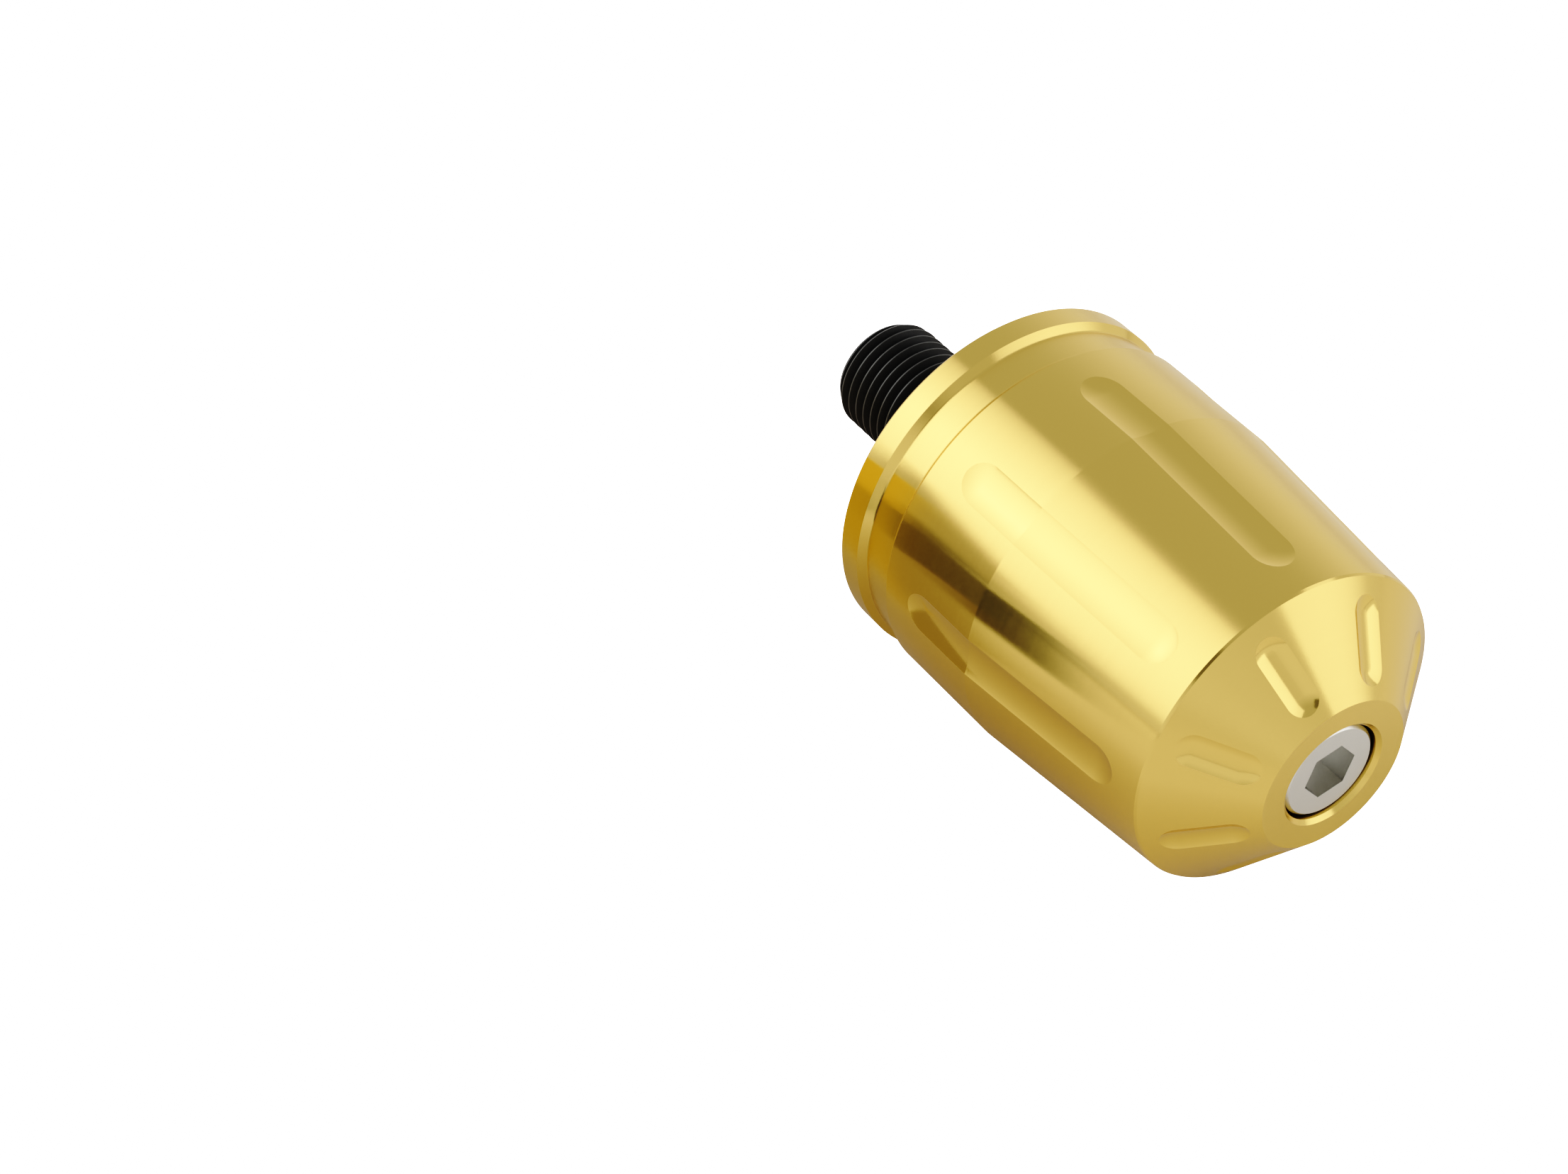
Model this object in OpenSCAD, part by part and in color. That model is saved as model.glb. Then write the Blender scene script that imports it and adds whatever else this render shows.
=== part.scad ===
// Handlebar end weight for a motorcycle.
// A fluted sleeve holds a steel weight. A stud runs through the weight and screws into the
// handlebar, and a cap screw in the nose pulls sleeve, weight and stud together.
// The common axis lies along X. The seat on the handlebar is at X = 0, the nose points to +X
// and the stud's thread to -X. One flute lies exactly on top, at +Z.

/* [Sleeve] */
// Length of the sleeve from the seat to the flat end of the nose
sleeve_len = 50; // [47:0.5:58]
// Diameter of the collar at the seat
collar_d = 38; // [34:0.1:46]
// Width of the collar
collar_w = 3; // [1.5:0.1:4]
// Chamfer round the collar where it meets the handlebar grip
collar_chamfer = 0.45; // [0.2:0.05:0.6]
// Width of the groove next to the collar, across its mouth
groove_w = 4.8; // [2:0.1:6]
// Depth of the groove under the collar
groove_depth = 0.7; // [0.4:0.05:0.95]
// Wall that the groove leaves over the weight
groove_wall = 1.3; // [0.7:0.05:2]
// Height of the collar over the body
collar_rise = 0.05; // [0:0.01:0.4]
// Length of the stretch of the body that doesn't taper
straight_len = 12.6; // [8:0.2:18]
// Drop of the taper from the body to the nose corner, on the radius
taper_drop = 2.05; // [1:0.05:3]
// Length of the nose cone along the axis
nose_len = 6.9; // [5:0.1:9]
// Diameter of the flat end of the nose
nose_d = 16.3; // [14:0.1:20]
// Break on the sharp corner between the taper and the nose cone
edge_break = 0.15; // [0.05:0.05:0.3]

/* [Flutes of the body] */
// Number of flutes round the body
flute_count = 8; // [4:1:12]
// Radius of the ball cutter that made the body's flutes
flute_r = 8; // [5:0.5:12]
// Depth of the body's flutes
flute_depth = 0.4; // [0.2:0.05:0.6]
// Distance from the groove to the tips of the body's flutes
flute_from_groove = 3.45; // [1:0.05:5]
// Distance from the other tips of the body's flutes to the nose corner
flute_from_corner = 3.15; // [1:0.05:6]

/* [Flutes of the nose] */
// Radius of the ball cutter that made the nose's flutes
nose_flute_r = 4; // [3:0.25:6]
// Depth of the nose's flutes
nose_flute_depth = 0.4; // [0.2:0.05:0.5]
// Distance down the cone from the nose corner to the tips of its flutes
nose_flute_from_corner = 1.8; // [1:0.1:3]
// Distance down the cone from the other tips of its flutes to the flat end
nose_flute_from_end = 1.2; // [0.8:0.1:2.5]

/* [Weight] */
// Length of the steel weight, which fills the sleeve from the seat inwards
weight_len = 26; // [18:0.5:28]
// Chamfer on the weight's edges
weight_chamfer = 0.35; // [0.1:0.05:0.8]
// Chamfer round both ends of the weight's hole
weight_hole_chamfer = 0.25; // [0.1:0.05:0.6]
// Radial gap between the weight and the sleeve's bore
weight_clearance = 0.05; // [0.02:0.01:0.15]
// Radial gap that shows round the weight at the seat
mouth_gap = 0.4; // [0.2:0.05:0.5]
// Depth of the wider mouth that leaves this gap
mouth_depth = 2; // [1:0.1:3]
// Chamfer inside the sleeve's rim
mouth_chamfer = 0.5; // [0.2:0.05:0.6]

/* [Stud] */
// Outer diameter of the stud's fine thread
thread_d = 12; // [10:0.5:13]
// Pitch of the stud's thread, which sets how deep it is cut
thread_pitch = 1.25; // [0.75:0.05:1.75]
// Length of the thread that stands out of the seat
thread_len = 20; // [14:0.5:30]
// Length of the taper that leads the thread in
thread_lead = 1.35; // [0.5:0.05:2]
// Depth under the seat of the stud's shoulder, where a relief ends the thread
shoulder_depth = 1; // [0.5:0.1:3]
// Height of the stud's plain shank, inside the weight, over its thread
shank_rise = 1; // [0.5:0.1:2]
// Radial gap between the shank and the weight
shank_clearance = 0.15; // [0.05:0.01:0.25]
// Chamfer on both ends of the shank
shank_chamfer = 0.5; // [0.2:0.05:0.7]

/* [Cap screw] */
// Outer diameter of the cap screw's thread
screw_d = 6; // [5:0.5:6]
// Pitch of the cap screw's thread, which sets the drilled hole of the stud
screw_pitch = 1; // [0.5:0.05:1.5]
// Length of the cap screw under its head
screw_len = 30; // [24:1:36]
// Length of full thread in the stud past the screw's tip
tap_spare = 3.5; // [1:0.5:8]
// Diameter of the cap screw's head
head_d = 10; // [9.5:0.1:10.5]
// Height of the cap screw's head
head_h = 6; // [4.5:0.1:7]
// Chamfer round the top of the head
head_chamfer = 0.3; // [0.1:0.05:0.6]
// Depth of the head under the flat end of the nose
head_sink = 0.5; // [0.2:0.05:1.5]
// Width across the flats of the head's hexagon socket
key_w = 5; // [4:0.1:5.5]
// Depth of the hexagon socket
key_depth = 3; // [2:0.1:4]
// Turn of the hexagon socket from the top flute
key_turn = 42.7; // [0:0.1:59.9]
// Chamfer on the screw's tip
tip_chamfer = 0.6; // [0.2:0.1:0.8]
// Radial gap between the head and its counterbore
head_clearance = 0.25; // [0.1:0.05:0.5]
// Radial gap between the screw and its hole through the nose
screw_clearance = 0.2; // [0.1:0.05:0.4]
// Chamfer round the mouth of the counterbore
counterbore_chamfer = 0.4; // [0.1:0.05:0.6]

/* [Hidden] */
// Facets round every turned surface
$fn = 96;
// How far a cut runs past the surface that it opens
past = 1;

collar_r = collar_d / 2;
groove_r = collar_r - groove_depth;
body_r = collar_r - collar_rise;
corner_r = body_r - taper_drop;

groove_end = collar_w + groove_w;
taper_start = groove_end + straight_len;
corner_x = sleeve_len - nose_len;
taper_angle = atan(taper_drop / (corner_x - taper_start));
nose_angle = atan((corner_r - nose_d / 2) / nose_len);
nose_slant = nose_len / cos(nose_angle);

head_top = sleeve_len - head_sink;
head_seat = head_top - head_h;
screw_tip = head_seat - screw_len;
counterbore_r = head_d / 2 + head_clearance;
screw_hole_r = screw_d / 2 + screw_clearance;
tap_r = screw_d / 2;
drill_r = (screw_d - screw_pitch) / 2;
tap_end = screw_tip - tap_spare;

// Depth of an outside thread as a share of its pitch
thread_share = 0.6134;
thread_r = thread_d / 2;
root_r = thread_r - thread_share * thread_pitch;
shank_r = thread_r + shank_rise;

bore_r = groove_r - groove_wall;
weight_r = bore_r - weight_clearance;
mouth_r = weight_r + mouth_gap;
weight_hole_r = shank_r + shank_clearance;

// How far the end of a flute reaches past the last centre of its ball cutter
flute_reach = sqrt(2 * flute_r * flute_depth - pow(flute_depth, 2));
nose_flute_reach = sqrt(2 * nose_flute_r * nose_flute_depth - pow(nose_flute_depth, 2));

// Height of the ball cutter's centre over the surface that it cuts
flute_lift = flute_r - flute_depth;
nose_flute_lift = nose_flute_r - nose_flute_depth;

// Where that centre's path turns from level to the taper, as [radius, distance from the seat]
flute_bend = [body_r + flute_lift, taper_start + flute_lift * tan(taper_angle / 2)];

// Turns a shape that was drawn round Z, so that its axis lies along +X
module along_x() {
    rotate([0, 90, 0])
        children();
}

// Cuts the second shape out of the first, once for each flute round the axis
module cut_round(first_angle) {
    difference() {
        children(0);
        for (k = [0:flute_count - 1])
            rotate([0, 0, first_angle + k * 360 / flute_count])
                children(1);
    }
}

// Path of a ball cutter from one [radius, height] to another: a rod that is round where the cutter
// enters the metal and, where the path only bends, flat at its far end
module ball_cut(r, from, to, both_round) {
    run = to - from;
    translate([from[0], 0, from[1]])
        rotate([0, atan2(run[0], run[1]), 0])
            rotate_extrude()
                intersection() {
                    union() {
                        circle(r = r);
                        square([r, norm(run)]);
                        if (both_round)
                            translate([0, norm(run)])
                                circle(r = r);
                    }
                    translate([0, -r])
                        square([r, norm(run) + 2 * r]);
                }
}

// A flute's stretch along the straight part of the body, with its round end near the groove
module level_flute() {
    start = groove_end + flute_from_groove + flute_reach;
    ball_cut(flute_r, [flute_bend[0], start], flute_bend, false);
}

// The same flute's stretch down the taper, with its round end near the nose corner
module taper_flute() {
    back = flute_from_corner + flute_reach;
    finish = [
        corner_r + back * sin(taper_angle) + flute_lift * cos(taper_angle),
        corner_x - back * cos(taper_angle) + flute_lift * sin(taper_angle)
    ];
    ball_cut(flute_r, finish, flute_bend, false);
}

// One flute of the nose cone
module nose_flute() {
    first = nose_flute_from_corner + nose_flute_reach;
    last = nose_slant - nose_flute_from_end - nose_flute_reach;
    lift_r = nose_flute_lift * cos(nose_angle);
    lift_x = nose_flute_lift * sin(nose_angle);
    start = [corner_r - first * sin(nose_angle) + lift_r, corner_x + first * cos(nose_angle) + lift_x];
    finish = [corner_r - last * sin(nose_angle) + lift_r, corner_x + last * cos(nose_angle) + lift_x];
    ball_cut(nose_flute_r, start, finish, true);
}

// Half section of the sleeve as [radius, distance from the seat], from the rim to the nose and back.
// Both flanks of the groove slope at 45 degrees.
module sleeve_section() {
    polygon([
        [mouth_r + mouth_chamfer, 0],
        [collar_r - collar_chamfer, 0],
        [collar_r, collar_chamfer],
        [collar_r, collar_w],
        [groove_r, collar_w + groove_depth],
        [groove_r, groove_end - (body_r - groove_r)],
        [body_r, groove_end],
        [body_r, taper_start],
        [corner_r + edge_break * sin(taper_angle), corner_x - edge_break * cos(taper_angle)],
        [corner_r - edge_break * sin(nose_angle), corner_x + edge_break * cos(nose_angle)],
        [nose_d / 2, sleeve_len],
        [counterbore_r + counterbore_chamfer, sleeve_len],
        [counterbore_r, sleeve_len - counterbore_chamfer],
        [counterbore_r, head_seat],
        [screw_hole_r, head_seat],
        [screw_hole_r, weight_len],
        [bore_r, weight_len],
        [bore_r, mouth_depth],
        [mouth_r, mouth_depth],
        [mouth_r, mouth_chamfer]
    ]);
}

// Sleeve: turned from bar, fluted with a ball cutter and anodised
module outer_sleeve() {
    color("goldenrod")
        along_x()
            cut_round(180 / flute_count) {
                cut_round(0) {
                    cut_round(0) {
                        rotate_extrude()
                            sleeve_section();
                        level_flute();
                    }
                    taper_flute();
                }
                nose_flute();
            }
}

// Weight: a plain steel ring that fills the sleeve's bore, level with the rim
module inner_weight() {
    color("gray")
        along_x()
            rotate_extrude()
                polygon([
                    [weight_hole_r + weight_hole_chamfer, 0],
                    [weight_r - weight_chamfer, 0],
                    [weight_r, weight_chamfer],
                    [weight_r, weight_len - weight_chamfer],
                    [weight_r - weight_chamfer, weight_len],
                    [weight_hole_r + weight_hole_chamfer, weight_len],
                    [weight_hole_r, weight_len - weight_hole_chamfer],
                    [weight_hole_r, weight_hole_chamfer]
                ]);
}

// Stud: the outer thread is drawn at its full diameter, and the bore runs right through
module threaded_stud() {
    countersink = tap_r - drill_r;
    color("dimgray")
        along_x()
            rotate_extrude()
                polygon([
                    [tap_r, -thread_len],
                    [root_r, -thread_len],
                    [thread_r, thread_lead - thread_len],
                    [thread_r, 0],
                    [root_r, 0],
                    [root_r, shoulder_depth],
                    [shank_r - shank_chamfer, shoulder_depth],
                    [shank_r, shoulder_depth + shank_chamfer],
                    [shank_r, weight_len - shank_chamfer],
                    [shank_r - shank_chamfer, weight_len],
                    [tap_r, weight_len],
                    [tap_r, tap_end],
                    [drill_r, tap_end],
                    [drill_r, countersink - thread_len]
                ]);
}

// Cap screw: its thread is drawn at its full diameter, in the stud's tapped stretch
module cap_screw() {
    color("silver")
        along_x()
            difference() {
                rotate_extrude()
                    polygon([
                        [0, screw_tip],
                        [screw_d / 2 - tip_chamfer, screw_tip],
                        [screw_d / 2, screw_tip + tip_chamfer],
                        [screw_d / 2, head_seat],
                        [head_d / 2, head_seat],
                        [head_d / 2, head_top - head_chamfer],
                        [head_d / 2 - head_chamfer, head_top],
                        [0, head_top]
                    ]);
                translate([0, 0, head_top - key_depth])
                    rotate([0, 0, key_turn])
                        cylinder(h = key_depth + past, r = key_w / 2 / cos(30), $fn = 6);
            }
}

outer_sleeve();
inner_weight();
threaded_stud();
cap_screw();
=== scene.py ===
"""A bar end weight: a fluted gold sleeve over a steel weight, on a stud, held by a cap screw.

The common axis is X. The seat on the handlebar is at X = 0 and the nose points to +X.
Outlines are written in millimetres, as [distance from the seat, radius].
"""

import math

import bpy
from mathutils import Matrix, Vector


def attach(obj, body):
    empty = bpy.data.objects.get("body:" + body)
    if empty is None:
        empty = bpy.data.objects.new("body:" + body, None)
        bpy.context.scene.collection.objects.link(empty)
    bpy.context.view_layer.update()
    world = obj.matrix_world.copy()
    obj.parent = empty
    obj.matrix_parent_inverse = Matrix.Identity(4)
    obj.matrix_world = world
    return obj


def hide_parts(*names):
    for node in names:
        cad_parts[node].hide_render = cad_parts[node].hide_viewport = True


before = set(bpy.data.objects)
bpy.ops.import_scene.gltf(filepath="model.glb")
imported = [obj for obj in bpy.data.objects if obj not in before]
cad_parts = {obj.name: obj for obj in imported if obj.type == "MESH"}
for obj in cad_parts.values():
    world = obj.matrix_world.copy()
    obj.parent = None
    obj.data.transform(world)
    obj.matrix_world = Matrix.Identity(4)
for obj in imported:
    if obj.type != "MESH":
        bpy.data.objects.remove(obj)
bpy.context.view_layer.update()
MM = 0.001


# Camera. It stands on the nose side, well above the part, and looks down along the sleeve
# through a long lens. Its place and turn were fitted to the picture of the product.
camera_place = (185.956 * MM, -159.133 * MM, 191.923 * MM)
camera_right = (0.553938, 0.831467, 0.042592)
camera_up = (-0.558811, 0.333393, 0.759328)
camera_back = (0.617157, -0.444422, 0.649312)
camera_lens = 72.14
camera_sensor = 36

bpy.ops.object.camera_add(location=camera_place)
camera = bpy.context.object
camera.name = "product_camera"
camera.rotation_euler = (
    Matrix((camera_right, camera_up, camera_back)).transposed().to_euler()
)
camera.data.lens = camera_lens
camera.data.sensor_width = camera_sensor
camera.data.clip_start = 0.01
bpy.context.scene.camera = camera


# Outer sleeve. Aluminium, turned from bar with a collar, a groove and a long taper to the nose,
# then satin finished and anodised gold. The groove's flanks slope at 45 degrees to its floor.
# Ball cutters mill eight flutes down the body and eight between them on the nose cone.
collar_r = 19.0
collar_w = 3.0
collar_chamfer = 0.45
groove_r = 18.3
groove_end = 7.8
groove_fillet = 0.3
body_r = 18.95
taper_start = 20.4
corner_r = 16.9
corner_x = 43.1
nose_r = 8.15
nose_x = 50.0
edge_break = 0.15
mouth_r = 17.35
mouth_depth = 2.0
mouth_chamfer = 0.5
bore_r = 17.0
weight_end = 26.0
screw_hole_r = 3.2
head_seat = 43.5
counterbore_r = 5.25
counterbore_chamfer = 0.4
flute_count = 8
flute_depth = 0.4
flute_r = 8.0
flute_first = 11.25
flute_last_back = 3.15
nose_flute_r = 4.0
nose_flute_first = 1.8
nose_flute_last = 1.2

taper_angle = math.atan((body_r - corner_r) / (corner_x - taper_start))
nose_angle = math.atan((corner_r - nose_r) / (nose_x - corner_x))


def drawn(name, outline, closed):
    """Draws an outline above the axis as a line of edges, and leaves it in edit mode."""
    bpy.ops.object.select_all(action="DESELECT")
    bpy.ops.mesh.primitive_plane_add(
        size=MM, location=(outline[0][0] * MM, 0, outline[0][1] * MM)
    )
    piece = bpy.context.object
    piece.name = piece.data.name = name
    bpy.ops.object.transform_apply(location=True, rotation=True, scale=True)
    bpy.ops.object.mode_set(mode="EDIT")
    bpy.ops.mesh.select_all(action="SELECT")
    bpy.ops.mesh.merge(type="CENTER")
    path = outline + outline[:1] if closed else outline
    for (x0, r0), (x1, r1) in zip(path, path[1:]):
        step = ((x1 - x0) * MM, 0, (r1 - r0) * MM)
        bpy.ops.mesh.extrude_region_move(TRANSFORM_OT_translate={"value": step})
    bpy.ops.mesh.select_all(action="SELECT")
    bpy.ops.mesh.remove_doubles(threshold=0.001 * MM)
    return piece


def turned(name, outline, steps, closed=True):
    """Turns an outline once round the axis."""
    piece = drawn(name, outline, closed)
    bpy.ops.mesh.spin(steps=steps, angle=math.tau, center=(0, 0, 0), axis=(1, 0, 0))
    bpy.ops.mesh.select_all(action="SELECT")
    bpy.ops.mesh.remove_doubles(threshold=0.001 * MM)
    bpy.ops.mesh.normals_make_consistent(inside=False)
    bpy.ops.object.mode_set(mode="OBJECT")
    return piece


def cut(piece, cutter):
    """Cuts the cutter out of the piece and clears the cutter away."""
    bpy.ops.object.select_all(action="DESELECT")
    bpy.context.view_layer.objects.active = piece
    piece.select_set(True)
    tool = piece.modifiers.new("cut", "BOOLEAN")
    tool.operation = "DIFFERENCE"
    tool.solver = "MANIFOLD"
    tool.object = cutter
    bpy.ops.object.modifier_apply(modifier=tool.name)
    bpy.data.objects.remove(cutter)


def ball_mill(piece, radius, start, finish, first_turn):
    """Runs a ball cutter from start to finish, once for each flute round the axis."""
    slice_height = 1.2
    arc_step = 1.5
    quarter = [math.radians(a * arc_step) for a in range(61)]
    run = math.hypot(finish[0] - start[0], finish[1] - start[1])
    slope = math.atan2(finish[1] - start[1], finish[0] - start[0])
    near_end = [(-radius * math.cos(a), radius * math.sin(a)) for a in quarter]
    far_end = [(run - x, r) for x, r in reversed(near_end)]
    cutter = turned("ball_cutter", near_end + far_end, 240, closed=False)

    # Only the slice that meets the metal is kept
    bpy.ops.object.mode_set(mode="EDIT")
    bpy.ops.mesh.select_all(action="SELECT")
    bpy.ops.mesh.bisect(
        plane_co=(0, 0, (slice_height - radius) * MM),
        plane_no=(0, 0, 1),
        use_fill=True,
        clear_outer=True,
        threshold=0.00001 * MM,
    )
    bpy.ops.object.mode_set(mode="OBJECT")
    cutter.rotation_euler = (0, -slope, 0)
    cutter.location = (start[0] * MM, 0, start[1] * MM)
    bpy.ops.object.transform_apply(location=True, rotation=True, scale=True)
    cutter.rotation_euler = (first_turn, 0, 0)
    bpy.ops.object.transform_apply(location=True, rotation=True, scale=True)
    bpy.ops.object.mode_set(mode="EDIT")
    bpy.ops.mesh.select_all(action="SELECT")
    bpy.ops.mesh.spin(
        steps=flute_count - 1,
        dupli=True,
        angle=math.tau * (flute_count - 1) / flute_count,
        center=(0, 0, 0),
        axis=(1, 0, 0),
    )
    bpy.ops.mesh.select_all(action="SELECT")
    bpy.ops.mesh.normals_make_consistent(inside=False)
    bpy.ops.object.mode_set(mode="OBJECT")
    cut(piece, cutter)


def shade(piece, sharp_from):
    """Shades the piece smooth, with its edges crisp from that angle on."""
    bpy.ops.object.select_all(action="DESELECT")
    bpy.context.view_layer.objects.active = piece
    piece.select_set(True)
    bpy.ops.object.shade_smooth_by_angle(angle=math.radians(sharp_from))


fillet_reach = groove_fillet * math.tan(math.radians(22.5))
groove_floor = (
    collar_w + collar_r - groove_r + fillet_reach,
    groove_end - (body_r - groove_r) - fillet_reach,
)
fillets = []
for turn in (45, 30, 15, 0):
    in_x = groove_fillet * math.sin(math.radians(turn))
    rise = groove_fillet * (1 - math.cos(math.radians(turn)))
    fillets.append((in_x, groove_r + rise))

sleeve = turned(
    "gold_sleeve",
    [
        (0, mouth_r + mouth_chamfer),
        (0, collar_r - collar_chamfer),
        (collar_chamfer, collar_r),
        (collar_w, collar_r),
        *[(groove_floor[0] - in_x, r) for in_x, r in fillets],
        *[(groove_floor[1] + in_x, r) for in_x, r in reversed(fillets)],
        (groove_end, body_r),
        (taper_start, body_r),
        (
            corner_x - edge_break * math.cos(taper_angle),
            corner_r + edge_break * math.sin(taper_angle),
        ),
        (
            corner_x + edge_break * math.cos(nose_angle),
            corner_r - edge_break * math.sin(nose_angle),
        ),
        (nose_x, nose_r),
        (nose_x, counterbore_r + counterbore_chamfer),
        (nose_x - counterbore_chamfer, counterbore_r),
        (head_seat, counterbore_r),
        (head_seat, screw_hole_r),
        (weight_end, screw_hole_r),
        (weight_end, bore_r),
        (mouth_depth, bore_r),
        (mouth_depth, mouth_r),
        (mouth_chamfer, mouth_r),
    ],
    steps=720,
)

lift = flute_r - flute_depth
reach = math.sqrt(2 * flute_r * flute_depth - flute_depth**2)
flute_bend = (taper_start + lift * math.tan(taper_angle / 2), body_r + lift)
back = flute_last_back + reach
flute_end = (
    corner_x - back * math.cos(taper_angle) + lift * math.sin(taper_angle),
    corner_r + back * math.sin(taper_angle) + lift * math.cos(taper_angle),
)
ball_mill(sleeve, flute_r, (flute_first + reach, body_r + lift), flute_bend, 0)
ball_mill(sleeve, flute_r, flute_bend, flute_end, 0)

nose_lift = nose_flute_r - flute_depth
nose_reach = math.sqrt(2 * nose_flute_r * flute_depth - flute_depth**2)
nose_slant = (nose_x - corner_x) / math.cos(nose_angle)
nose_flute_ends = []
for slant in (
    nose_flute_first + nose_reach,
    nose_slant - nose_flute_last - nose_reach,
):
    nose_flute_ends.append(
        (
            corner_x + slant * math.cos(nose_angle) + nose_lift * math.sin(nose_angle),
            corner_r - slant * math.sin(nose_angle) + nose_lift * math.cos(nose_angle),
        )
    )
ball_mill(sleeve, nose_flute_r, *nose_flute_ends, math.pi / flute_count)
shade(sleeve, sharp_from=3.5)


def linear(code):
    """A colour in sRGB hexadecimal as the linear values that a node takes."""
    shares = [int(code[i : i + 2], 16) / 255 for i in (1, 3, 5)]
    return [
        s / 12.92 if s <= 0.04045 else ((s + 0.055) / 1.055) ** 2.4 for s in shares
    ] + [1]


def add_node(tree, kind, settings=None, inputs=None):
    """Adds a node with its settings, and sets or links each of its inputs."""
    node = tree.nodes.new(kind)
    for name, value in (settings or {}).items():
        setattr(node, name, value)
    for name, value in (inputs or {}).items():
        if isinstance(value, bpy.types.NodeSocket):
            tree.links.new(value, node.inputs[name])
        else:
            node.inputs[name].default_value = value
    return node


def new_material(name):
    """An empty material, as its node tree and its output node."""
    material = bpy.data.materials.new(name)
    material.use_nodes = True
    material.node_tree.nodes.clear()
    output = add_node(material.node_tree, "ShaderNodeOutputMaterial")
    return material, material.node_tree, output


def distance_from_axis(tree, place):
    """How far each point lies from the common axis."""
    split = add_node(tree, "ShaderNodeSeparateXYZ", {}, {"Vector": place})
    flat_place = add_node(
        tree,
        "ShaderNodeCombineXYZ",
        {},
        {"Y": split.outputs["Y"], "Z": split.outputs["Z"]},
    )
    distance = add_node(
        tree,
        "ShaderNodeVectorMath",
        {"operation": "LENGTH"},
        {0: flat_place.outputs["Vector"]},
    )
    return distance.outputs["Value"]


def gold_finish(name, roughness, anisotropic):
    """Gold anodised aluminium, with turning marks round the part that smear reflections."""
    material, tree, output = new_material(name)
    place = add_node(tree, "ShaderNodeTexCoord").outputs["Object"]
    # Turning marks, 0.35 mm apart here and about 0.1 mm on the part, too fine to show
    mark_width = 0.35
    marks_place = add_node(
        tree,
        "ShaderNodeMapping",
        {},
        {"Vector": place, "Scale": (1 / (mark_width * MM), 30, 30)},
    )
    marks = add_node(
        tree,
        "ShaderNodeTexNoise",
        {},
        {"Vector": marks_place.outputs["Vector"], "Scale": 1, "Detail": 3},
    )
    bump = add_node(
        tree,
        "ShaderNodeBump",
        {},
        {"Strength": 0.15, "Distance": 0.01 * MM, "Height": marks.outputs["Fac"]},
    )
    # The satin finish under the dye leaves a grain
    grain_width = 0.15
    fine_grain = add_node(
        tree,
        "ShaderNodeTexNoise",
        {},
        {"Vector": place, "Scale": 1 / (grain_width * MM), "Detail": 1},
    )
    satin = add_node(
        tree,
        "ShaderNodeBump",
        {},
        {
            "Strength": 0.12,
            "Distance": 0.01 * MM,
            "Height": fine_grain.outputs["Fac"],
            "Normal": bump.outputs["Normal"],
        },
    )
    grain = add_node(
        tree,
        "ShaderNodeMapRange",
        {},
        {
            "Value": marks.outputs["Fac"],
            "To Min": roughness - 0.015,
            "To Max": roughness + 0.015,
        },
    )
    turning_way = add_node(
        tree, "ShaderNodeTangent", {"direction_type": "RADIAL", "axis": "X"}
    )
    shader = add_node(
        tree,
        "ShaderNodeBsdfPrincipled",
        {},
        {
            "Base Color": linear("#E4C678"),
            "Metallic": 1,
            "Roughness": grain.outputs["Result"],
            "Anisotropic": anisotropic,
            "Anisotropic Rotation": 0.25,
            "Normal": satin.outputs["Normal"],
            "Tangent": turning_way.outputs["Tangent"],
        },
    )
    tree.links.new(shader.outputs["BSDF"], output.inputs["Surface"])
    return material


# Satin turned skin: reflections smear along the axis and stay sharp round it. The milled
# flutes are smoother, with no direction.
gold = gold_finish("gold_anodised_turned", 0.185, 1)
milled_gold = gold_finish("gold_anodised_milled", 0.13, 0)


def stand_for(piece, node, material):
    """Gives the piece its material and its place in the frame, instead of that CAD node."""
    piece.data.materials.clear()
    piece.data.materials.append(material)
    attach(piece, "root")
    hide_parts(node)


stand_for(sleeve, "outer_sleeve", gold)

# The milled faces are those that lie just under the turned skin
milled_depth = (0.01, 0.6)
flat_margin = 0.5
sleeve.data.materials.append(milled_gold)
for face in sleeve.data.polygons:
    along = face.center.x / MM
    out = math.hypot(face.center.y, face.center.z) / MM
    if along < corner_x:
        skin = body_r - max(0, along - taper_start) * math.tan(taper_angle)
    else:
        skin = corner_r - (along - corner_x) * math.tan(nose_angle)
    on_skin = groove_end < along < nose_x - flat_margin
    if on_skin and milled_depth[0] < skin - out < milled_depth[1]:
        face.material_index = 1


# Inner weight. A plain steel ring, faced on the lathe, that sits in the sleeve level with its rim
# and leaves a thin dark gap all round.
weight_r = 16.95
weight_chamfer = 0.35
weight_hole_r = 7.15
hole_chamfer = 0.25

weight = turned(
    "steel_weight",
    [
        (0, weight_hole_r + hole_chamfer),
        (0, weight_r - weight_chamfer),
        (weight_chamfer, weight_r),
        (weight_end - weight_chamfer, weight_r),
        (weight_end, weight_r - weight_chamfer),
        (weight_end, weight_hole_r + hole_chamfer),
        (weight_end - hole_chamfer, weight_hole_r),
        (hole_chamfer, weight_hole_r),
    ],
    steps=480,
)
shade(weight, sharp_from=3.5)

# Bright turned steel. The facing marks are rings round the axis, which spread each light
# into a fan across the face.
steel, tree, output = new_material("fine_turned_steel")
place = add_node(tree, "ShaderNodeTexCoord").outputs["Object"]
from_axis = distance_from_axis(tree, place)
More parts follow.
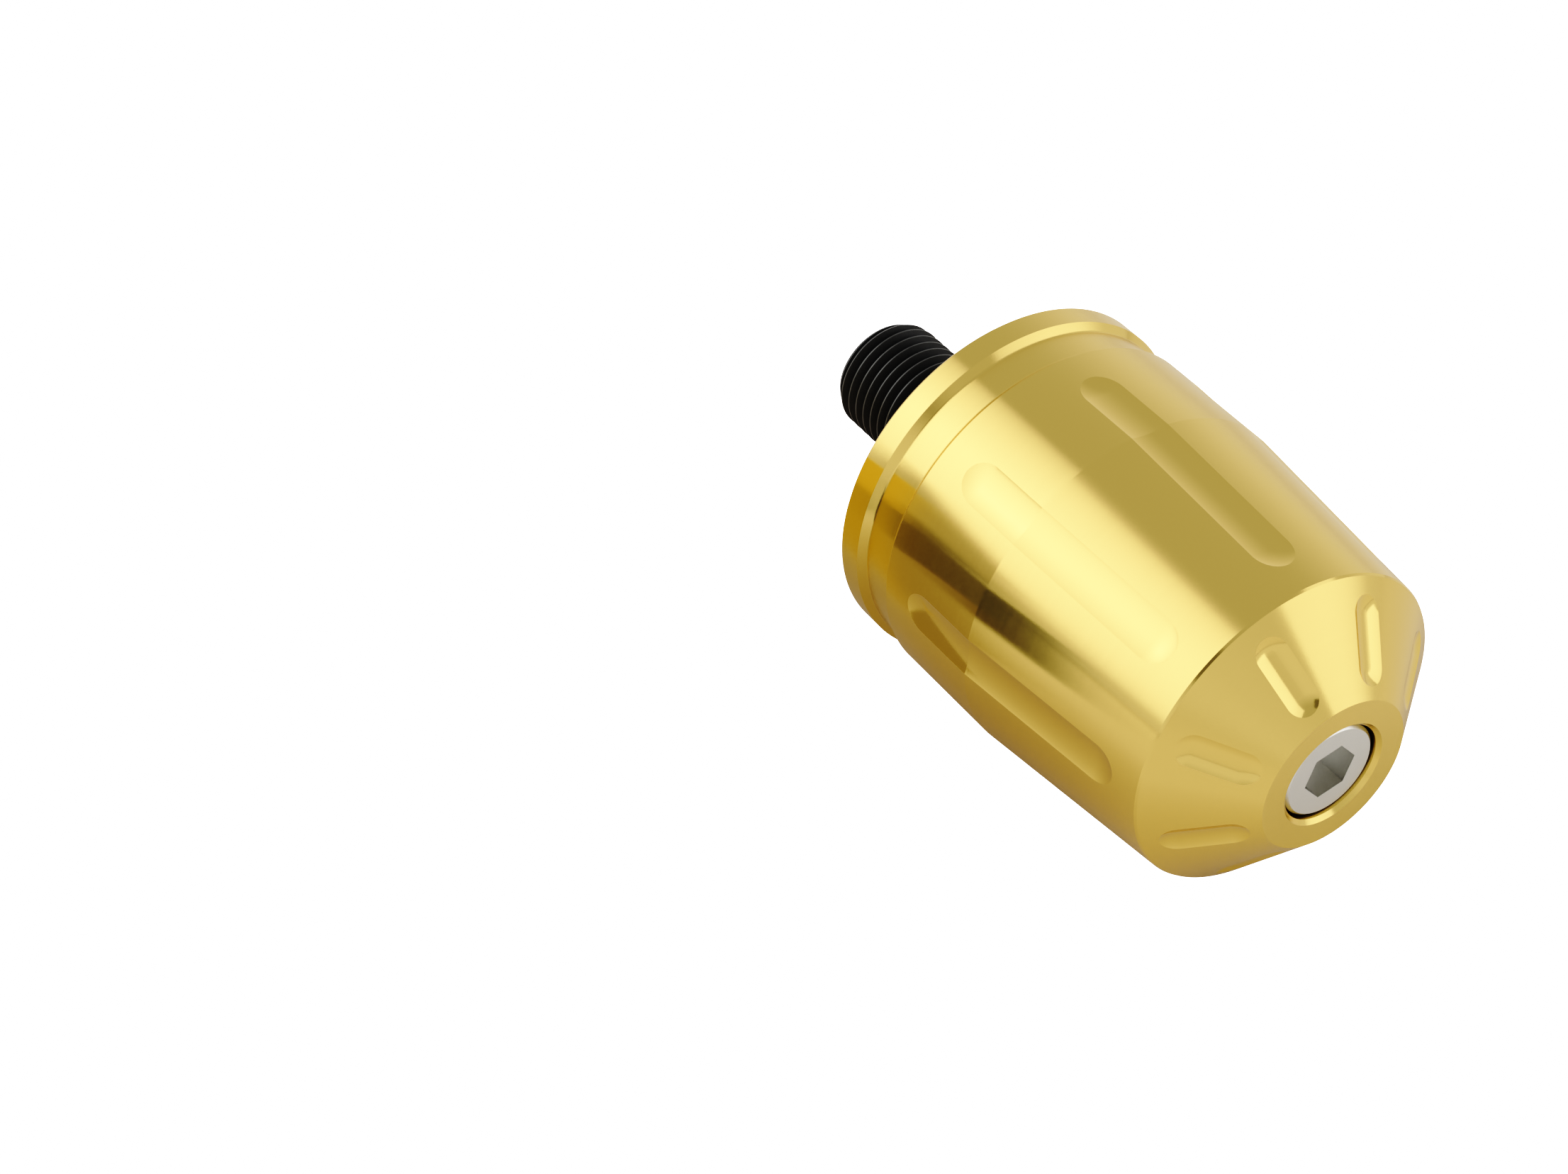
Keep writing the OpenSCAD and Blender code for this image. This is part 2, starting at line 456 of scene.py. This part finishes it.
# Facing marks, 0.25 mm apart here and about 0.08 mm on the part
ring_width = 0.25
ring_place = add_node(
    tree,
    "ShaderNodeMath",
    {"operation": "MULTIPLY"},
    {0: from_axis, 1: 1 / (ring_width * MM)},
)
rings = add_node(
    tree,
    "ShaderNodeTexNoise",
    {"noise_dimensions": "1D"},
    {"W": ring_place.outputs["Value"], "Scale": 1, "Detail": 3},
)
bump = add_node(
    tree,
    "ShaderNodeBump",
    {},
    {"Strength": 0.2, "Distance": 0.01 * MM, "Height": rings.outputs["Fac"]},
)
grain = add_node(
    tree,
    "ShaderNodeMapRange",
    {},
    {"Value": rings.outputs["Fac"], "To Min": 0.22, "To Max": 0.3},
)
turning_way = add_node(
    tree, "ShaderNodeTangent", {"direction_type": "RADIAL", "axis": "X"}
)
shader = add_node(
    tree,
    "ShaderNodeBsdfPrincipled",
    {},
    {
        "Base Color": linear("#A9A69A"),
        "Metallic": 1,
        "Roughness": grain.outputs["Result"],
        "Anisotropic": 0.7,
        "Anisotropic Rotation": 0.25,
        "Normal": bump.outputs["Normal"],
        "Tangent": turning_way.outputs["Tangent"],
    },
)
tree.links.new(shader.outputs["BSDF"], output.inputs["Surface"])
stand_for(weight, "inner_weight", steel)


# Threaded stud. Turned steel with a rolled M12x1.25 thread outside the seat, a shank inside the
# weight and a tapped bore right through. It is blackened all over.
stud_end = -20.0
thread_r = 6.0
thread_pitch = 1.25
root_r = 5.233
thread_lead = 1.35
shoulder_x = 1.0
shank_r = 7.0
shank_chamfer = 0.5
tap_r = 3.0
tap_start = 10.0
drill_r = 2.5
tap_pitch = 1.0


def thread_groove(piece, floor_r, mouth_r, open_r, pitch, crest_share, start, turns):
    """Winds a thread's groove round the axis as a closed coil and cuts it out of the piece."""
    steps_per_turn = 96
    mouth_half = pitch * (1 - crest_share) / 2
    floor_half = mouth_half - abs(mouth_r - floor_r) * math.tan(math.radians(30))
    outline = [
        (start - floor_half, floor_r),
        (start - mouth_half, mouth_r),
        (start - mouth_half, open_r),
        (start + mouth_half, open_r),
        (start + mouth_half, mouth_r),
        (start + floor_half, floor_r),
    ]
    coil = drawn("thread_cutter", outline, closed=True)
    bpy.ops.object.mode_set(mode="OBJECT")
    wind = coil.modifiers.new("wind", "SCREW")
    wind.axis = "X"
    wind.angle = math.tau
    wind.screw_offset = pitch * MM
    wind.iterations = turns
    wind.steps = wind.render_steps = steps_per_turn
    bpy.ops.object.modifier_apply(modifier=wind.name)
    bpy.ops.object.mode_set(mode="EDIT")
    bpy.ops.mesh.select_mode(type="EDGE")
    bpy.ops.mesh.select_all(action="DESELECT")
    bpy.ops.mesh.select_non_manifold()
    bpy.ops.mesh.edge_face_add()
    bpy.ops.mesh.select_all(action="SELECT")
    bpy.ops.mesh.normals_make_consistent(inside=False)
    bpy.ops.mesh.select_mode(type="VERT")
    bpy.ops.object.mode_set(mode="OBJECT")
    cut(piece, coil)


stud = turned(
    "black_stud",
    [
        (stud_end, tap_r),
        (stud_end, root_r),
        (stud_end + thread_lead, thread_r),
        (0, thread_r),
        (0, root_r),
        (shoulder_x, root_r),
        (shoulder_x, shank_r - shank_chamfer),
        (shoulder_x + shank_chamfer, shank_r),
        (weight_end - shank_chamfer, shank_r),
        (weight_end, shank_r - shank_chamfer),
        (weight_end, tap_r),
        (tap_start, tap_r),
        (tap_start, drill_r),
        (stud_end + tap_r - drill_r, drill_r),
    ],
    steps=192,
)
thread_groove(
    stud,
    floor_r=root_r,
    mouth_r=thread_r,
    open_r=thread_r + 0.4,
    pitch=thread_pitch,
    crest_share=1 / 8,
    start=stud_end - 2.0,
    turns=18,
)
thread_groove(
    stud,
    floor_r=tap_r,
    mouth_r=drill_r,
    open_r=drill_r - 0.3,
    pitch=tap_pitch,
    crest_share=1 / 4,
    start=stud_end - 1.5,
    turns=16,
)
shade(stud, sharp_from=20)

# Black oxide on steel: nearly black, with a dull oily gloss. The thread's crests are painted a
# lighter grey, in thin mottled lines.
black, tree, output = new_material("black_oxide_steel")
place = add_node(tree, "ShaderNodeTexCoord").outputs["Object"]
from_axis = distance_from_axis(tree, place)
crest_band = add_node(
    tree,
    "ShaderNodeMapRange",
    {},
    {
        "Value": from_axis,
        "From Min": (thread_r - 0.06) * MM,
        "From Max": (thread_r - 0.01) * MM,
    },
)
mottle = add_node(
    tree, "ShaderNodeTexNoise", {}, {"Vector": place, "Scale": 900, "Detail": 4}
)
crest_lines = add_node(
    tree,
    "ShaderNodeMath",
    {"operation": "MULTIPLY"},
    {0: crest_band.outputs["Result"], 1: mottle.outputs["Fac"]},
)
colour = add_node(
    tree,
    "ShaderNodeMix",
    {"data_type": "RGBA"},
    {"Factor": crest_lines.outputs["Value"], 6: linear("#424242"), 7: linear("#686866")},
)
grain = add_node(
    tree,
    "ShaderNodeMapRange",
    {},
    {"Value": mottle.outputs["Fac"], "To Min": 0.34, "To Max": 0.5},
)
shader = add_node(
    tree,
    "ShaderNodeBsdfPrincipled",
    {},
    {
        "Base Color": colour.outputs[2],
        "Metallic": 0.4,
        "Roughness": grain.outputs["Result"],
    },
)
tree.links.new(shader.outputs["BSDF"], output.inputs["Surface"])
stand_for(stud, "threaded_stud", black)


# Cap screw. A stainless M6 socket screw in the nose's counterbore. It draws the stud
# against the weight and takes a 5 mm hexagon key.
screw_tip = 13.5
screw_r = 3.0
tip_chamfer = 0.6
head_r = 5.0
head_top = 49.5
head_chamfer = 0.3
key_w = 5.0
key_depth = 3.0
key_turn = 42.7

screw = turned(
    "cap_screw_m6",
    [
        (screw_tip, 0),
        (screw_tip, screw_r - tip_chamfer),
        (screw_tip + tip_chamfer, screw_r),
        (head_seat, screw_r),
        (head_seat, head_r),
        (head_top - head_chamfer, head_r),
        (head_top, head_r - head_chamfer),
        (head_top, 0),
    ],
    steps=192,
    closed=False,
)
bpy.ops.object.select_all(action="DESELECT")
bpy.ops.mesh.primitive_cylinder_add(
    vertices=6,
    radius=key_w / 2 / math.cos(math.radians(30)) * MM,
    depth=key_depth * 2 * MM,
)
socket = bpy.context.object
socket.rotation_euler = (0, 0, math.radians(key_turn + 30))
bpy.ops.object.transform_apply(location=True, rotation=True, scale=True)
socket.rotation_euler = (0, math.pi / 2, 0)
socket.location = (head_top * MM, 0, 0)
bpy.ops.object.transform_apply(location=True, rotation=True, scale=True)
cut(screw, socket)
shade(screw, sharp_from=10)

# Stainless steel, bright: turned on top, with a soft gloss.
stainless, tree, output = new_material("stainless_steel")
place = add_node(tree, "ShaderNodeTexCoord").outputs["Object"]
mottle = add_node(
    tree, "ShaderNodeTexNoise", {}, {"Vector": place, "Scale": 1500, "Detail": 3}
)
bump = add_node(
    tree,
    "ShaderNodeBump",
    {},
    {"Strength": 0.15, "Distance": 0.02 * MM, "Height": mottle.outputs["Fac"]},
)
grain = add_node(
    tree,
    "ShaderNodeMapRange",
    {},
    {"Value": mottle.outputs["Fac"], "To Min": 0.25, "To Max": 0.38},
)
shader = add_node(
    tree,
    "ShaderNodeBsdfPrincipled",
    {},
    {
        "Base Color": linear("#D9D8D3"),
        "Metallic": 1,
        "Roughness": grain.outputs["Result"],
        "Normal": bump.outputs["Normal"],
    },
)
tree.links.new(shader.outputs["BSDF"], output.inputs["Surface"])
stand_for(screw, "cap_screw", stainless)


# Floor. A pale table top, level with the lowest point of the collar. Its colour carries painted
# shade and painted gold bounce light: it is darker and warmer within 30 to 80 mm of the part,
# where the part would shade it and throw light back on it. A glow that only the camera sees keeps
# it white all over.
floor_width = 4
white_glow = 3

bpy.ops.object.select_all(action="DESELECT")
bpy.ops.mesh.primitive_plane_add(size=floor_width, location=(0, 0, -collar_r * MM))
floor = bpy.context.object
floor.name = "pale_floor"
bpy.ops.object.transform_apply(location=True, rotation=True, scale=True)
pale, tree, output = new_material("pale_table_top")
place = add_node(tree, "ShaderNodeTexCoord").outputs["Object"]
from_part = add_node(
    tree, "ShaderNodeVectorMath", {"operation": "LENGTH"}, {0: place}
)
# Painted shade and painted gold bounce light: near the part the floor's colour is darker and
# warmer, fading out between 30 and 80 mm
painted_shade_fade = add_node(
    tree,
    "ShaderNodeMapRange",
    {},
    {"Value": from_part.outputs["Value"], "From Min": 0.03, "From Max": 0.08},
)
colour = add_node(
    tree,
    "ShaderNodeMix",
    {"data_type": "RGBA"},
    {"Factor": painted_shade_fade.outputs["Result"], 6: linear("#C2B3A3"), 7: linear("#F6F3EF")},
)
surface = add_node(
    tree,
    "ShaderNodeBsdfPrincipled",
    {},
    {"Base Color": colour.outputs[2], "Roughness": 0.9},
)
seen = add_node(tree, "ShaderNodeLightPath").outputs["Is Camera Ray"]
glow_strength = add_node(
    tree, "ShaderNodeMath", {"operation": "MULTIPLY"}, {0: seen, 1: white_glow}
)
glow = add_node(
    tree,
    "ShaderNodeEmission",
    {},
    {"Color": (1, 1, 1, 1), "Strength": glow_strength.outputs["Value"]},
)
shader = add_node(
    tree,
    "ShaderNodeAddShader",
    {},
    {0: surface.outputs["BSDF"], 1: glow.outputs["Emission"]},
)
tree.links.new(shader.outputs["Shader"], output.inputs["Surface"])
floor.data.materials.append(pale)


# Studio cards. Plain cards beside the part, below the soft box, and a dark one round the
# camera. They show only as reflections: a black strip and a dark, a grey and a brown card
# on the flank, two gold cards on the collar and the groove.
def card(name, place, across, along, size, colour):
    """Stands a glowing card at that place, seen in reflections only."""
    bpy.ops.object.select_all(action="DESELECT")
    bpy.ops.mesh.primitive_plane_add(size=MM)
    piece = bpy.context.object
    piece.name = piece.data.name = name
    across, along = Vector(across).normalized(), Vector(along).normalized()
    turn = Matrix((across, along, across.cross(along))).transposed()
    piece.matrix_world = (
        Matrix.Translation(Vector(place) * MM)
        @ turn.to_4x4()
        @ Matrix.Diagonal((*size, 1, 1))
    )
    bpy.ops.object.transform_apply(location=True, rotation=True, scale=True)
    material, tree, output = new_material(name)
    light = add_node(
        tree, "ShaderNodeEmission", {}, {"Color": (*colour, 1), "Strength": 1}
    )
    tree.links.new(light.outputs["Emission"], output.inputs["Surface"])
    piece.data.materials.append(material)
    piece.visible_camera = piece.visible_diffuse = piece.visible_shadow = False


card_way = (0.952, 0.265, 0.150)
card_side = (0.268, -0.963, 0)
card_up = (-0.144, -0.040, 0.989)
card_centre = Vector((-0.8, -46.9, 0))
card(
    "black_strip", (10, -44.2, 1.6), card_way, card_up, (21, 12), (0.055, 0.065, 0.08)
)
for name, sides, heights, colour in (
    ("dark_card", (-16.5, 0), (-3.5, 7.3), (0.13, 0.12, 0.1)),
    ("grey_card", (-17, 17), (7.3, 17), (0.43, 0.4, 0.36)),
    ("brown_card", (-17, 4), (-22, -3.5), (0.36, 0.29, 0.19)),
):
    middle_side, middle_height = sum(sides) / 2, sum(heights) / 2
    centre = card_centre + middle_side * Vector(card_side)
    centre = centre + middle_height * Vector(card_up)
    size = (sides[1] - sides[0], heights[1] - heights[0])
    card(name, centre, card_side, card_up, size, colour)
card(
    "bright_gold_card", (-22, -34, 5.0), card_way, card_up, (44, 6.7), (0.82, 0.6, 0.16)
)
card(
    "gold_card", (-22, -34, -11.3), card_way, card_up, (44, 26.3), (0.6, 0.43, 0.08)
)
card(
    "camera_card",
    Vector(camera_place) / MM,
    camera_right,
    camera_up,
    (130, 110),
    (0.2, 0.2, 0.2),
)


# Studio light. A pale tent all round, a wide soft box over the part's near side and a second
# one past its nose. The tent is plain white where the camera sees it.
world = bpy.data.worlds.new("light_tent")
bpy.context.scene.world = world
world.use_nodes = True
tree = world.node_tree
tree.nodes.clear()
direction = add_node(tree, "ShaderNodeTexCoord").outputs["Generated"]
parts = add_node(tree, "ShaderNodeSeparateXYZ", {}, {"Vector": direction})
tent = add_node(tree, "ShaderNodeValToRGB", {}, {"Fac": parts.outputs["Z"]})
stops = tent.color_ramp.elements
stops[0].position, stops[0].color = 0.25, (0.92, 0.92, 0.92, 1)
stops[1].position, stops[1].color = 0.72, (0.58, 0.58, 0.58, 1)
seen = add_node(tree, "ShaderNodeLightPath").outputs["Is Camera Ray"]
shown = add_node(
    tree,
    "ShaderNodeMix",
    {"data_type": "RGBA"},
    {
        "Factor": seen,
        6: tent.outputs["Color"],
        7: (white_glow, white_glow, white_glow, 1),
    },
)
background = add_node(
    tree, "ShaderNodeBackground", {}, {"Color": shown.outputs[2], "Strength": 1}
)
output = add_node(tree, "ShaderNodeOutputWorld")
tree.links.new(background.outputs["Background"], output.inputs["Surface"])


def soft_box(name, place, turn, width, height, radiance, rim_share):
    """Hangs a soft box at that place, turned by those degrees and dimmer towards its rim."""
    bpy.ops.object.light_add(
        type="AREA", location=place, rotation=[math.radians(a) for a in turn]
    )
    box = bpy.context.object
    box.name = name
    box.data.shape = "RECTANGLE"
    box.data.size = width
    box.data.size_y = height
    box.data.energy = radiance * math.pi * width * height
    box.visible_camera = False
    box.data.use_nodes = True
    tree = box.data.node_tree
    tree.nodes.clear()
    across = add_node(tree, "ShaderNodeNewGeometry").outputs["Parametric"]
    from_middle = add_node(
        tree, "ShaderNodeVectorMath", {"operation": "DISTANCE"}, {0: across, 1: (0.5, 0.5, 0)}
    )
    share = add_node(
        tree,
        "ShaderNodeMapRange",
        {},
        {
            "Value": from_middle.outputs["Value"],
            "From Max": 0.5,
            "To Min": 1,
            "To Max": rim_share,
        },
    )
    light = add_node(
        tree, "ShaderNodeEmission", {}, {"Strength": share.outputs["Result"]}
    )
    output = add_node(tree, "ShaderNodeOutputLight")
    tree.links.new(light.outputs["Emission"], output.inputs["Surface"])


soft_box(
    "side_soft_box", (-0.4, -0.411, 0.446), (53.2, 9.5, -18.4), 1.0, 0.77, 1.8, 0.5
)
soft_box("nose_soft_box", (0.36, 0.36, 0.32), (57.8, 0, 135), 0.5, 0.5, 1.05, 0.85)

view = bpy.context.scene.view_settings
view.view_transform = "Standard"
# The camera's response: deep shadows, true middle tones and a soft shoulder below white
white_at = 2.2
view.use_curve_mapping = True
response = view.curve_mapping
response.white_level = (white_at, white_at, white_at)
response.extend = "HORIZONTAL"
response_curve = response.curves[3]
for light, shown_as in (
    (0.03, 0.005),
    (0.06, 0.015),
    (0.1, 0.05),
    (0.15, 0.115),
    (0.25, 0.235),
    (0.45, 0.44),
    (0.78, 0.715),
    (1.05, 0.865),
    (1.35, 0.965),
):
    response_curve.points.new(light / white_at, shown_as)
response.update()
